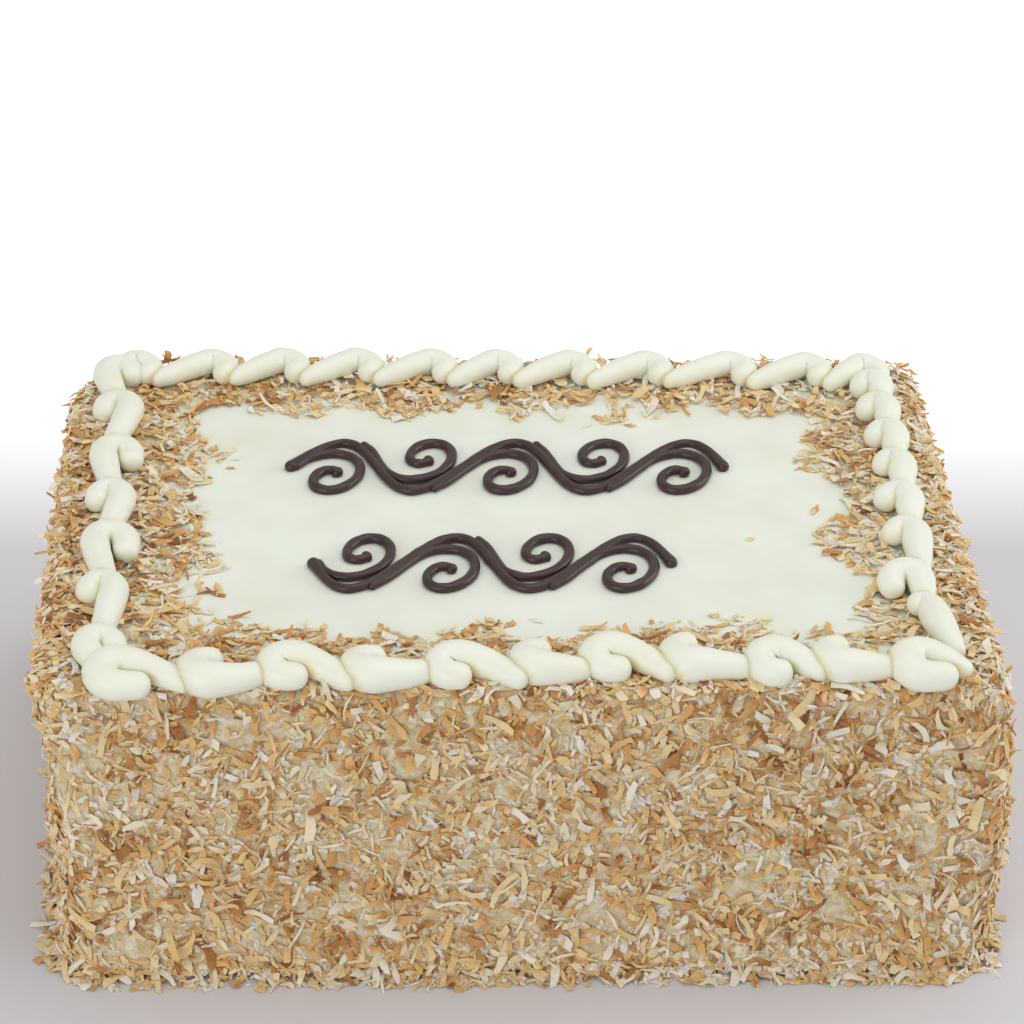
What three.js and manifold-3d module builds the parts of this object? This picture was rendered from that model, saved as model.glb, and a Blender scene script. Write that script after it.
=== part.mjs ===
// Italian cream sheet cake, 9 by 13 inches: a tall uncut block of cake under cream cheese icing, its sides,
// foot and top edges coated in toasted shredded coconut. A border of reversed cream shells, piped with a
// plain round tube, runs round the top. Inside it lie two rows of chocolate scrollwork.
// Units are millimetres, +Z is up, -Y is the front, and the origin is the centre of the base.
import * as THREE from "three";
import { mergeVertices } from "three/addons/utils/BufferGeometryUtils.js";
import Module from "manifold-3d";

const wasm = await Module();
wasm.setup();

// The block, measured over its coconut coat.
const CAKE_WIDTH = 331;
const CAKE_DEPTH = 229;
const ICING_TOP = 117;
const CORNER_RADII = { frontRight: 16, backRight: 18, backLeft: 30, frontLeft: 16 };
const EDGE_RADIUS = 6;
const SIDE_BOW = 1; // how far the middle of a side stands out
const FOOT_FLARE = 4.5; // how far the coconut heaped at the foot reaches out
const FOOT_HEIGHT = 12;
const LEVEL_SHARES = [0, 0.05, 0.14, 0.35, 0.57, 0.79]; // the wall's rows, as shares of its height
const EDGE_ROWS = 2; // rows over the rounded top edge
const COLUMNS_ALONG = { width: 13, depth: 9, corner: 4 };
const WALL_BUMP = 1.2; // the coat's unevenness

// How far to the right the two ends of the cake stand from where an even block's would: by height at their front
// corners, and how much less or more so at their back corners, at the base and at the top.
const END_HEIGHTS = [0, 20, 50, 85, ICING_TOP];
const RIGHT_END = { offsets: [0, 4, 9, 6.5, 3], toBack: [-5, -11] };
const LEFT_END = { offsets: [1.5, 1, -3, -4, -10], toBack: [-1, 9] };

// Shreds of coconut large enough to be modelled.
const SHRED_LENGTH = 15;
const SHRED_WIDTH = 3.2;
const SHRED_THICKNESS = 1.7;
const SHRED_PROUD = 0.5; // how far a shred's middle lies outside the coat

// The piped border: the rectangle that it runs round, and the strand that its shells are piped in.
const BORDER_HALF_WIDTH = 140;
const BORDER_HALF_DEPTH = 100;
const LOOP_REACH = 6.4; // how far a shell's loop reaches back along its run
const STRAND_RADIUS = 5;
const STRAND_SIDES = 6;
const SHELL_STEPS = 9;
const HOOK_HEIGHT = 4.6; // the middle of the strand over the icing, in a shell's hook, loop and tail
const LOOP_HEIGHT = 5.2;
const TAIL_HEIGHT = 3.9;
const PIECE_GAP = 0.35; // clearance kept between neighbouring pieces

// The chocolate scrollwork: a waving stem in each row, with a curl in the hollow of each crest.
const VINE_HALF_STEP = 32;
const VINE_SWING = 17; // the stem's swing either side of its row
const VINE_SLANT = 0.22;
const CURL_RADIUS = 11.2;
const CURL_STRETCH = 1.25; // curls are this much taller than wide
const CURL_DROP = 7; // a curl's middle lies this far from its row, away from the crest
const CURL_START = THREE.MathUtils.degToRad(158);
const CURL_TURN = THREE.MathUtils.degToRad(470);
const LINE_RADIUS = 2;
const LINE_HEIGHT = 1.3; // the middle of a piped line over the icing
const LINE_SIDES = 5;

const UP = new THREE.Vector3(0, 0, 1);

// The value at a place between given ones.
function between(place, places, values) {
  const last = places.length - 1;
  const next = places.findIndex((each, i) => i > 0 && (place <= each || i === last));
  const share = THREE.MathUtils.clamp((place - places[next - 1]) / (places[next] - places[next - 1]), 0, 1);
  return THREE.MathUtils.lerp(values[next - 1], values[next], share);
}

// A repeatable random number from 0 to 1.
function randomFrom(seed) {
  let state = seed;
  return () => {
    state = (Math.imul(state, 1664525) + 1013904223) >>> 0;
    return state / 4294967296;
  };
}

// ---------- solids ----------

function solidOf(geometry) {
  const bare = geometry.clone();
  bare.deleteAttribute("normal");
  bare.deleteAttribute("uv");
  const merged = mergeVertices(bare, 1e-3);
  const mesh = new wasm.Mesh({
    numProp: 3,
    vertProperties: merged.getAttribute("position").array,
    triVerts: new Uint32Array(merged.index.array),
  });
  return new wasm.Manifold(mesh);
}

function geometryOf(solid) {
  const { vertProperties, triVerts } = solid.getMesh();
  const geometry = new THREE.BufferGeometry();
  geometry.setAttribute("position", new THREE.BufferAttribute(vertProperties, 3));
  geometry.setIndex(new THREE.BufferAttribute(triVerts, 1));
  return geometry;
}

const joined = (solids) => solids.reduce((whole, solid) => whole.add(solid));

// The largest of the bodies that a cut leaves.
function largestBody(solid) {
  const bodies = solid.decompose();
  return bodies.reduce((best, body) => (body.volume() > best.volume() ? body : best));
}

// Everything below a height, as a block to cut away.
function blockBelow(height) {
  const depth = 40;
  const block = new THREE.BoxGeometry(2 * CAKE_WIDTH, 2 * CAKE_DEPTH, depth);
  return solidOf(block.translate(0, 0, height - depth / 2));
}

// A piped strand: a sphere drawn out along a curve, blunt at both ends. radiusAt takes the share of the way.
function strand(curve, radiusAt, steps, sides) {
  const blunt = 0.035;
  const geometry = new THREE.SphereGeometry(1, sides, steps);
  const position = geometry.getAttribute("position");
  const uv = geometry.getAttribute("uv");
  for (let i = 0; i < position.count; i++) {
    const row = Math.round((1 - uv.getY(i)) * steps);
    const tip = row === 0 || row === steps;
    const share = tip ? row / steps : THREE.MathUtils.lerp(blunt, 1 - blunt, (row - 1) / (steps - 2));
    const centre = curve.getPointAt(share);
    const tangent = curve.getTangentAt(share);
    const side = new THREE.Vector3().crossVectors(tangent, UP).normalize();
    const above = new THREE.Vector3().crossVectors(side, tangent);
    const turn = 2 * Math.PI * uv.getX(i) + Math.PI / 2;
    const radius = tip ? 0 : radiusAt(share);
    centre.addScaledVector(side, radius * Math.cos(turn));
    centre.addScaledVector(above, radius * Math.sin(turn));
    position.setXYZ(i, centre.x, centre.y, centre.z);
  }
  return geometry;
}

// ---------- the piped border ----------

// Each run goes from its start along towards the next corner, and inward is the way in towards the middle of the
// cake. bends says how late its tails bend, and lastEnd where its last tail ends from the middle of the last
// loop. Each shell is piped from the outside or the inside of the border, with these sizes: how far along the
// middle of its loop is and how far in, how far the loop reaches to either side, how far on from there the tip
// of its hook is, and how far in its tail ends.
const RUNS = [
  { name: "front", start: [-142.4, -100], along: [1, 0], inward: [0, 1],
    bends: { outside: 1.4, inside: 2.2 }, lastEnd: [13, -2],
    shells: [
      ["outside", 1.5, -6.5, 7.4, 6.5, -10.5], ["inside", 32.5, -4, 6.6, 0, -2.5],
      ["outside", 60, -2.5, 6, 1.5, -9.5], ["inside", 88.5, -2, 5.8, 0, -2],
      ["outside", 117.5, -2.5, 6, 0, -8.5], ["inside", 147, 2, 6.2, -1.5, -1.5],
      ["outside", 171, 2, 7.2, 0.5, -4.5], ["inside", 198.5, 5, 7.2, -2, -1],
      ["outside", 228, -0.5, 7.2, -1, -4.5], ["inside", 251, 3.5, 6.8, -2, -1],
      ["outside", 278.5, -1.5, 7.8, 7, 0],
    ] },
  { name: "right", start: [138.6, 100], along: [0, -1], inward: [-1, 0], bends: { inside: 1.2 }, lastEnd: [23, -9],
    shells: [
      ["inside", 12, 2, 4.4, -1.5, -2.5], ["inside", 29, 1.5, 4.6, -1.5, -2.5],
      ["inside", 49, 0.5, 4.6, -1.5, -3], ["inside", 70, -0.5, 4.4, -1.5, -3.5],
      ["inside", 94, 0.5, 5.4, -1.5, -3.5], ["inside", 118, 0.5, 5, -1.5, -3.5],
      ["inside", 148.5, 3, 6.2, 7, -3], ["inside", 168.5, 0, 4.4, -2.5, 0],
    ] },
  { name: "back", start: [137.6, 103], along: [-1, 0], inward: [0, -1], bends: { inside: 1 }, lastEnd: [9, 5],
    shells: [
      [2.5, 2], [24, 1], [53, 0], [85, 0], [114, -0.5], [142, -1], [167, -1.5], [195, -2], [223, -2], [250, -1],
      [279, 0],
    ].map(([along, inset]) => ["inside", along, inset, 5.4, -4.8, inset + 6]) },
  { name: "left", start: [-147.4, 100], along: [0, -1], inward: [1, 0],
    bends: { outside: 1.3, inside: 1.3 }, lastEnd: [13, 2],
    shells: [
      ["inside", 1.5, 0.5, 4.6, 0, 1], ["outside", 27.5, 0.5, 4.6, 0.5, -1.5], ["inside", 61, 1.5, 5, 2.5, 0.5],
      ["outside", 92, -0.5, 4.4, 0.5, -1], ["inside", 121.5, 0.8, 5.6, 5, 0.5],
      ["outside", 154, -1.5, 4.4, 0, -1], ["inside", 190, -0.8, 4.8, 0.5, 0],
    ] },
];

const runLength = (run) => 2 * (run.along[0] === 0 ? BORDER_HALF_DEPTH : BORDER_HALF_WIDTH);

// A place on the icing, from its distance along a run and inwards from it.
function besideRun(run, along, inward, height) {
  const [x, y] = [0, 1].map((i) => run.start[i] + run.along[i] * along + run.inward[i] * inward);
  return new THREE.Vector3(x, y, ICING_TOP + height);
}

// A shell starts at the tip of its hook, rolls back round its loop, and trails off along the run to end.
function shellCurve(run, shell, end) {
  const [origin, along, inset, depth, hook] = shell;
  const side = origin === "outside" ? 1 : -1;
  const reach = Math.min(LOOP_REACH, depth);
  const begin = -Math.PI / 2 - (hook < 0 ? Math.asin(Math.min(1, -hook / reach)) : 0);
  const shortest = 1.4; // no hook is worth a point of its own below this
  const line = hook > shortest ? [[along + hook, inset - side * depth]] : [];
  const loopSteps = 5;
  for (let i = 0; i <= loopSteps; i++) {
    const turn = THREE.MathUtils.lerp(begin, -1.5 * Math.PI, i / loopSteps);
    line.push([along + reach * Math.cos(turn), inset + side * depth * Math.sin(turn)]);
  }
  for (const share of [0.33, 0.67, 1]) {
    const [lastAlong, lastInset] = end;
    const bend = share ** run.bends[origin];
    const across = THREE.MathUtils.lerp(inset + side * depth, lastInset, bend);
    line.push([THREE.MathUtils.lerp(along, lastAlong, share), across]);
  }
  const heightAt = (share) => between(share, [0, 0.15, 0.4, 0.6, 1],
    [HOOK_HEIGHT, HOOK_HEIGHT, LOOP_HEIGHT, LOOP_HEIGHT, TAIL_HEIGHT]);
  const last = line.length - 1;
  const points = line.map(([x, y], i) => besideRun(run, x, y, heightAt(i / last)));
  return new THREE.CatmullRomCurve3(points, false, "centripetal");
}

// The shells of a run: each one's curve and its strand radius along the way, thinner in a narrow loop.
function shellsOf(run) {
  const tuck = 5; // a tail ends this far short of the middle of the next loop, under its strand
  return run.shells.map((shell, i) => {
    const [, along, inset, depth, , tailEnd] = shell;
    const next = run.shells[i + 1];
    const end = next ? [next[1] - tuck, tailEnd] : [along + run.lastEnd[0], inset + run.lastEnd[1]];
    const girth = STRAND_RADIUS * (1 + 0.05 * (depth - 7.5));
    const widest = depth - 0.3;
    const radiusAt = (share) => {
      const radius = girth * between(share, [0, 0.12, 0.35, 0.6, 0.85, 1], [1, 1.12, 1.22, 1.1, 0.95, 0.78]);
      return Math.min(radius, widest);
    };
    return { curve: shellCurve(run, shell, end), radiusAt };
  });
}

const shellSolid = ({ curve, radiusAt }, extra = 0) =>
  solidOf(strand(curve, (share) => radiusAt(share) + extra, SHELL_STEPS, STRAND_SIDES));

// The four runs as solids that rest on the icing. The side runs stop short of the shells at the corners.
function borderRuns() {
  const [front, right, back, left] = RUNS.map(shellsOf);
  const longRuns = joined([...front, ...back].map((shell) => shellSolid(shell, PIECE_GAP)));
  const belowIcing = blockBelow(ICING_TOP);
  return Object.entries({ front, right, back, left }).map(([name, shells]) => {
    const whole = joined(shells.map((shell) => shellSolid(shell)));
    const clear = shells === right || shells === left ? whole.subtract(longRuns) : whole;
    return [name, largestBody(clear.subtract(belowIcing))];
  });
}

// ---------- the chocolate scrollwork ----------

const VINE_ROWS = [
  { name: "back", middle: [-2.4, 38], crests: 5, firstCrest: 1 },
  { name: "front", middle: [-10.4, -29], crests: 4, firstCrest: -1 },
];

// A point of a row, from its distance along the row and above it. The rows slant as handwork does.
function onRow(row, along, above) {
  const [x, y] = row.middle;
  return new THREE.Vector3(x + along + VINE_SLANT * above, y + above, ICING_TOP + LINE_HEIGHT);
}

const rowLength = (row) => row.crests * VINE_HALF_STEP;
const stemSwing = (row, along) =>
  row.firstCrest * VINE_SWING * Math.sin((Math.PI * (along + rowLength(row) / 2)) / VINE_HALF_STEP);

function stemCurve(row) {
  const count = row.crests * 4;
  const points = Array.from({ length: count + 1 }, (_, i) => {
    const along = (i / count - 0.5) * rowLength(row);
    return onRow(row, along, stemSwing(row, along));
  });
  return new THREE.CatmullRomCurve3(points);
}

// A curl leaves the stem before a crest, runs beside it, and rolls up in the crest's hollow.
function curlCurve(row, crest) {
  const side = crest % 2 === 0 ? row.firstCrest : -row.firstCrest;
  const middle = (crest + 0.5) * VINE_HALF_STEP - rowLength(row) / 2;
  const shares = crest === 0 ? [] : [0.8, 0.68];
  const beside = 1.6;
  const lead = shares.map((share) => {
    const along = middle - share * VINE_HALF_STEP;
    return onRow(row, along + beside, stemSwing(row, along) - side * beside);
  });
  const count = 13;
  const roll = Array.from({ length: count + 1 }, (_, i) => {
    const share = i / count;
    const turn = CURL_START - share * CURL_TURN;
    const radius = CURL_RADIUS * (0.28 + 1.08 * (1 - share) ** 1.3);
    const above = CURL_STRETCH * radius * Math.sin(turn) - CURL_DROP;
    return onRow(row, middle + radius * Math.cos(turn), side * above);
  });
  return new THREE.CatmullRomCurve3([...lead, ...roll]);
}

// A piped line swells into a bead where the hand stopped.
const lineRadius = (beadAtStart) => (share) => {
  const bead = Math.max(0, 1 - (1 - share) * 14) + (beadAtStart ? Math.max(0, 1 - share * 22) : 0);
  return LINE_RADIUS * (0.86 + 0.14 * Math.sin(share * Math.PI) + 0.3 * bead);
};

function vine(row) {
  const stemSteps = row.crests * 4;
  const curlSteps = 12;
  const stem = solidOf(strand(stemCurve(row), lineRadius(true), stemSteps, LINE_SIDES));
  const curls = Array.from({ length: row.crests }, (_, crest) =>
    solidOf(strand(curlCurve(row, crest), lineRadius(false), curlSteps, LINE_SIDES)),
  );
  return largestBody(joined([stem, ...curls]).subtract(blockBelow(ICING_TOP)));
}

// ---------- the iced and coated block ----------

// The block's outline on plan, from the middle of the right-hand side anticlockwise.
function planOutline() {
  const x = CAKE_WIDTH / 2;
  const y = CAKE_DEPTH / 2;
  const { frontRight, backRight, backLeft, frontLeft } = CORNER_RADII;
  const quarter = Math.PI / 2;
  const path = new THREE.Path().moveTo(x, frontRight - y);
  path.lineTo(x, y - backRight).absarc(x - backRight, y - backRight, backRight, 0, quarter);
  path.lineTo(backLeft - x, y).absarc(backLeft - x, y - backLeft, backLeft, quarter, 2 * quarter);
  path.lineTo(-x, frontLeft - y).absarc(frontLeft - x, frontLeft - y, frontLeft, 2 * quarter, 3 * quarter);
  path.lineTo(x - frontRight, -y).absarc(x - frontRight, frontRight - y, frontRight, 3 * quarter, 4 * quarter);
  return path;
}

const OUTLINE = planOutline();

// Where the wall's columns stand, as shares of the way round: closer together at the corners.
function columnShares() {
  const { width, depth, corner } = COLUMNS_ALONG;
  const counts = [depth, corner, width, corner, depth, corner, width, corner];
  const lengths = OUTLINE.curves.map((curve) => curve.getLength());
  const round = lengths.reduce((sum, length) => sum + length);
  let start = 0;
  return counts.flatMap((count, k) => {
    const from = start;
    start += lengths[k] / round;
    return Array.from({ length: count }, (_, i) => THREE.MathUtils.lerp(from, start, i / count));
  });
}

// How far to the right an uneven end of the cake carries a point of an even block.
function endOffset({ x, y, z }) {
  const end = x > 0 ? RIGHT_END : LEFT_END;
  const front = between(z, END_HEIGHTS, end.offsets);
  const toBack = THREE.MathUtils.lerp(end.toBack[0], end.toBack[1], z / ICING_TOP);
  return (x / (CAKE_WIDTH / 2)) ** 2 * (front + toBack * (y / CAKE_DEPTH + 0.5));
}

// A point on the coat and the way it faces. share goes once round from 0 to 1, and out moves it outwards.
function coatPoint(share, height, out) {
  const { x, y } = OUTLINE.getPoint(share);
  const along = OUTLINE.getTangent(share);
  const normal = new THREE.Vector3(along.y, -along.x, 0);
  const bowX = Math.cos((Math.PI * x) / CAKE_WIDTH) * Math.abs(normal.y);
  const bowY = Math.cos((Math.PI * y) / CAKE_DEPTH) * Math.abs(normal.x);
  const flare = FOOT_FLARE * Math.exp(-height / FOOT_HEIGHT);
  const overEdge = Math.max(0, height - (ICING_TOP - EDGE_RADIUS));
  const tuck = EDGE_RADIUS - Math.sqrt(Math.max(0, EDGE_RADIUS ** 2 - overEdge ** 2));
  const reach = SIDE_BOW * (bowX + bowY) + flare - tuck + out;
  const point = new THREE.Vector3(x, y, height).addScaledVector(normal, reach);
  point.x += endOffset(point);
  return { point, normal };
}

// The heights of the wall's rows, from the base to the flat top.
function wallLevels() {
  const straight = LEVEL_SHARES.map((share) => share * (ICING_TOP - EDGE_RADIUS));
  const edge = Array.from({ length: EDGE_ROWS + 1 }, (_, i) => Math.sin((Math.PI * i) / (2 * EDGE_ROWS)));
  return [...straight, ...edge.map((share) => ICING_TOP - EDGE_RADIUS * (1 - share))];
}

// The block is a lathed profile whose rings are then laid on the outline.
function blockSolid() {
  const random = randomFrom(41);
  const levels = wallLevels();
  const columns = columnShares();
  const profile = [[0, 0], ...levels.map((height) => [1, height]), [0, ICING_TOP]];
  const geometry = new THREE.LatheGeometry(profile.map((point) => new THREE.Vector2(...point)), columns.length);
  const bumps = levels.map(() => columns.map(() => WALL_BUMP * (2 * random() - 1)));
  const position = geometry.getAttribute("position");
  const uv = geometry.getAttribute("uv");
  for (let i = 0; i < position.count; i++) {
    const ring = Math.round(uv.getY(i) * (profile.length - 1));
    const column = Math.round(uv.getX(i) * columns.length) % columns.length;
    const [distance, height] = profile[ring];
    const level = ring - 1;
    const bumpy = level > 0 && level < LEVEL_SHARES.length;
    const out = bumpy ? bumps[level][column] : 0;
    const point = distance ? coatPoint(columns[column], height, out).point : new THREE.Vector3(0, 0, height);
    position.setXYZ(i, point.x, point.y, point.z);
  }
  return solidOf(geometry);
}

// ---------- coconut ----------

// A shred: a thin tapered bar, laid at a place with its flat side along normal.
function shred(place, normal, turn, tilt, length, width) {
  const bar = new THREE.BoxGeometry(length, width, SHRED_THICKNESS);
  const position = bar.getAttribute("position");
  for (let i = 0; i < position.count; i++) {
    const narrow = position.getX(i) > 0 ? 0.7 : 1;
    position.setY(i, position.getY(i) * narrow);
    position.setZ(i, position.getZ(i) * narrow);
  }
  const facing = new THREE.Quaternion().setFromUnitVectors(UP, normal);
  bar.rotateY(tilt).rotateZ(turn).applyQuaternion(facing);
  return bar.translate(place.x, place.y, place.z);
}

// Shreds on the four sides, in jittered rows.
function sideShreds() {
  const random = randomFrom(3);
  const rows = 4;
  const columns = 17;
  const lowest = 16;
  const highest = ICING_TOP - 16;
  return Array.from({ length: rows * columns }, (_, i) => {
    const row = Math.floor(i / columns);
    const share = ((i % columns) + 0.5 * (row % 2) + 0.45 * random()) / columns;
    const height = THREE.MathUtils.lerp(lowest, highest, row / (rows - 1)) + 16 * (random() - 0.5);
    const { point, normal } = coatPoint(share, height, SHRED_PROUD);
    const length = SHRED_LENGTH * (0.7 + 0.5 * random());
    const width = SHRED_WIDTH * (0.75 + 0.5 * random());
    return shred(point, normal, Math.PI * random(), 0.4 * (random() - 0.5), length, width);
  });
}

// Shreds that lean on the rounded top edge, more or less along it.
function edgeShreds() {
  const random = randomFrom(8);
  const count = 26;
  return Array.from({ length: count }, (_, i) => {
    const share = (i + 0.6 * random()) / count;
    const { point, normal } = coatPoint(share, ICING_TOP - 0.4 * EDGE_RADIUS, 0);
    const facing = normal.add(new THREE.Vector3(0, 0, 0.6)).normalize();
    const along = Math.PI / 2 + Math.atan2(normal.y, normal.x);
    const quaternion = new THREE.Quaternion().setFromUnitVectors(UP, facing);
    const level = new THREE.Vector3(Math.cos(along), Math.sin(along), 0).applyQuaternion(quaternion.invert());
    const turn = Math.atan2(level.y, level.x) + 0.7 * (random() - 0.5);
    return shred(point, facing, turn, 0, SHRED_LENGTH * (0.65 + 0.35 * random()), SHRED_WIDTH);
  });
}

// Shreds that lie round the foot, on the surface that the cake stands on.
function footShreds() {
  const random = randomFrom(5);
  const count = 22;
  return Array.from({ length: count }, (_, i) => {
    const { point, normal } = coatPoint((i + 0.6 * random()) / count, 2.2, SHRED_PROUD);
    const heading = Math.atan2(normal.y, normal.x) + 1.2 + random();
    return shred(point, UP, heading, 0.12, SHRED_LENGTH * (0.7 + 0.3 * random()), SHRED_WIDTH);
  });
}

// Shreds on the icing either side of the border, where its strands leave them room.
function topShreds() {
  const random = randomFrom(11);
  const clearance = 1.15 * STRAND_RADIUS + SHRED_WIDTH / 2 + 0.6;
  const strandPoints = RUNS.flatMap(shellsOf).flatMap(({ curve }) => curve.getSpacedPoints(18));
  const clear = (point) => strandPoints.every((p) => Math.hypot(p.x - point.x, p.y - point.y) > clearance);
  const inward = [12.5, -16, 17, 21, 26];
  const spacing = 10.5;
  const shreds = [];
  for (const run of RUNS) {
    const count = Math.round(runLength(run) / spacing);
    const heading = Math.atan2(run.along[1], run.along[0]);
    const sideways = run.along[0] === 0;
    for (let i = 0; i < count; i++) {
      const lane = inward[i % inward.length];
      const depth = lane + (lane > 0 ? 2 * random() : 0);
      const along = depth + ((runLength(run) - 2 * depth) * (i + random())) / count;
      const place = besideRun(run, along, depth, SHRED_PROUD);
      const turn = lane > 0 ? Math.PI * random() : heading + 0.4 * (random() - 0.5);
      const length = SHRED_LENGTH * (0.55 + 0.3 * random());
      const half = new THREE.Vector3(Math.cos(turn), Math.sin(turn), 0).multiplyScalar(length / 2);
      const room = [place, place.clone().add(half), place.clone().sub(half)].every(clear);
      const width = SHRED_WIDTH * (0.7 + 0.3 * random());
      if (room && (lane > 0 || sideways)) shreds.push(shred(place, UP, turn, 0, length, width));
    }
  }
  return shreds;
}

function icedCake() {
  const shreds = [...sideShreds(), ...edgeShreds(), ...footShreds(), ...topShreds()].map(solidOf);
  return largestBody(joined([blockSolid(), ...shreds]).subtract(blockBelow(0)));
}

// ---------- the object ----------

const finish = (name, color, roughness) => new THREE.MeshStandardMaterial({ name, color, roughness, metalness: 0 });
const COCONUT_COAT = finish("coconut_coat", "#d3b183", 0.85);
const PIPED_CREAM = finish("piped_cream", "#f1f1dc", 0.5);
const CHOCOLATE = finish("chocolate", "#3b2422", 0.45);

function piece(name, solid, material) {
  const mesh = new THREE.Mesh(geometryOf(solid), material);
  mesh.name = name;
  return mesh;
}

const cake = new THREE.Group();
cake.add(piece("iced_cake", icedCake(), COCONUT_COAT));
for (const [side, solid] of borderRuns()) cake.add(piece(`cream_border_${side}`, solid, PIPED_CREAM));
for (const row of VINE_ROWS) cake.add(piece(`chocolate_scroll_${row.name}`, vine(row), CHOCOLATE));

export default cake;
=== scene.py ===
"""Italian cream sheet cake: smoothed cream cheese icing under a coat of toasted shredded coconut, a border of
cream shells piped with a round tube, and two rows of chocolate scrollwork. Sizes are in millimetres until a
mesh is made."""

import math

import bmesh
import bpy
import numpy as np
from mathutils import Matrix, Vector, noise
from mathutils.bvhtree import BVHTree


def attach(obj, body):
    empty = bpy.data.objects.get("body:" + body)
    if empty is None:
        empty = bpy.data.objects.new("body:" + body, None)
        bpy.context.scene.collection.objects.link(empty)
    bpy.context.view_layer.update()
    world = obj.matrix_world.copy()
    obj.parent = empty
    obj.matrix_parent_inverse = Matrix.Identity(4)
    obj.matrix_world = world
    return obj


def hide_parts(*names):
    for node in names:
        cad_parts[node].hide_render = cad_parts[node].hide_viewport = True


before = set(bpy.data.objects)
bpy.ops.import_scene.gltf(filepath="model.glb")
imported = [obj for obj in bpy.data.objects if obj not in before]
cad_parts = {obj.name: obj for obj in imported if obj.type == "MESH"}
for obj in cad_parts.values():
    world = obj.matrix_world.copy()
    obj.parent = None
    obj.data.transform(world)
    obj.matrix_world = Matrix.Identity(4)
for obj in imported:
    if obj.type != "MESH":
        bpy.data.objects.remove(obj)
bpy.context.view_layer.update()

MM = 0.001

# The iced block, measured over its coconut coat.
CAKE_WIDTH = 331.0
CAKE_DEPTH = 229.0
ICING_TOP = 117.0
CORNER_RADII = {"front_right": 16, "back_right": 18, "back_left": 30, "front_left": 16}
EDGE_RADIUS = 5.0  # of the icing's top edge
COAT_THICKNESS = 3.4  # from the icing to the outside of the coconut
FOOT_FLARE = 4.5
FOOT_HEIGHT = 12.0
BARE_HALF_WIDTH = 146.0  # of the middle of the top, outside which coconut is pressed into the icing
BARE_HALF_DEPTH = 105.0

# How far to the right the two ends of the cake stand from where an even block's would: by height at their
# front corners, and how much less or more so at their back corners, at the base and at the top.
END_HEIGHTS = (0, 20, 50, 85, ICING_TOP)
RIGHT_END = {"offsets": (0.0, 4.0, 9.0, 6.5, 3.0), "to_back": (-5.0, -11.0)}
LEFT_END = {"offsets": (1.5, 1.0, -3.0, -4.0, -10.0), "to_back": (-1.0, 9.0)}

# The icing's relief: the grid that it is cut into, the bumps on its walls (how wide and high they are, and
# where in the noise they lie) and the waves on its top.
ICING_GRID = 4
WALL_BUMPS = ((30.0, 0.9, (0, 0, 0)), (9.0, 0.9, (7, 3, 1)), (3.6, 0.7, (1, 8, 4)))
WAVE_WIDTH = 46.0
WAVE_DEPTH = 20.0
WAVE_HEIGHT = 0.35

# The piped border.
LOOP_REACH = 6.4  # from the middle of a shell's loop back to the middle of its strand
HOOK_HEIGHT = 4.8  # of the strand's middle over the icing, in a shell's hook, loop and tail
LOOP_HEIGHT = 5.5
TAIL_HEIGHT = 4.2
TAIL_STOP = 9.0  # a tail ends this far short of the middle of the next shell's loop
SHORTEST_HOOK = 1.4  # a shell whose hook is shorter starts in its loop
BORDER_HALF_WIDTH = 143.0  # of the rectangle from which the coconut on top is counted inward
BORDER_HALF_DEPTH = 102.0

# From the tip of a shell's hook, 0, to the end of its tail, 1: the height of the strand's middle over the
# icing, its radius as a share of its run's girth, and how much of the run's swell is added to that share.
HEIGHT_ALONG = (
    (0, HOOK_HEIGHT), (0.15, HOOK_HEIGHT), (0.4, LOOP_HEIGHT), (0.6, LOOP_HEIGHT), (1, TAIL_HEIGHT),
)
GIRTH_ALONG = ((0, 1.02), (0.12, 1.13), (0.35, 1.2), (0.6, 1.15), (0.85, 1.0), (1, 0.78))
SWELL_ALONG = ((0.12, 0), (0.35, 0.8), (0.48, 1), (0.65, 0.3), (0.8, 0))

# Piped strands of either kind: how flat they settle, how uneven they are, and the creases between them, where
# the piped cream is painted with shade.
SQUASH = 0.94
WOBBLE = 0.02
CREASE_WIDTH = 1.5
NO_CREASE = 9.0  # a gap too wide to be a crease
SAME_STRETCH = 13.5  # a strand makes no crease with itself nearer than this along its line
STRANDS_APART = 60.0  # strands whose middles are further apart don't meet

# The chocolate scrollwork.
VINE_HALF_STEP = 32.0
VINE_SWING = 17.0
VINE_SLANT = 0.22
CURL_RADIUS = 11.2
CURL_STRETCH = 1.25
CURL_DROP = 7.0  # a curl's middle lies this far from its row, away from the crest
CURL_START = math.radians(158)
CURL_TURN = math.radians(470)
LINE_RADIUS = 2.0
LINE_HEIGHT = 1.3  # the middle of a piped line over the icing
STEM_STEPS = 8  # for each crest
CURL_STEPS = 24


# ---------------------------------------------------------------- helpers


def linear(red, green, blue):
    """An 8-bit screen colour as the linear RGBA that a shader takes."""
    channels = [c / 255 for c in (red, green, blue)]
    return [c / 12.92 if c <= 0.04045 else ((c + 0.055) / 1.055) ** 2.4 for c in channels] + [1.0]


def smoothstep(low, high, value):
    share = np.clip((value - low) / (high - low), 0, 1)
    return share * share * (3 - 2 * share)


def noise_at(points, scale, seed=0.0):
    """Perlin noise, about -1 to 1, for points in millimetres and a feature size in millimetres."""
    return np.array([noise.noise(Vector(p) / scale + Vector((seed, 2 * seed, 3 * seed))) for p in points])


def add_object(name, mesh, material, slot_name, *nodes):
    """Shows a mesh as a piece of the cake, in place of the nodes that it stands for."""
    mesh.materials.clear()
    mesh.materials.append(material)
    piece = bpy.data.objects.new(name, mesh)
    bpy.context.scene.collection.objects.link(piece)
    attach(piece, "root")
    if nodes:
        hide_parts(*nodes)
    return piece


def mesh_from_bmesh(name, bm):
    mesh = bpy.data.meshes.new(name)
    bm.to_mesh(mesh)
    bm.free()
    return mesh


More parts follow.
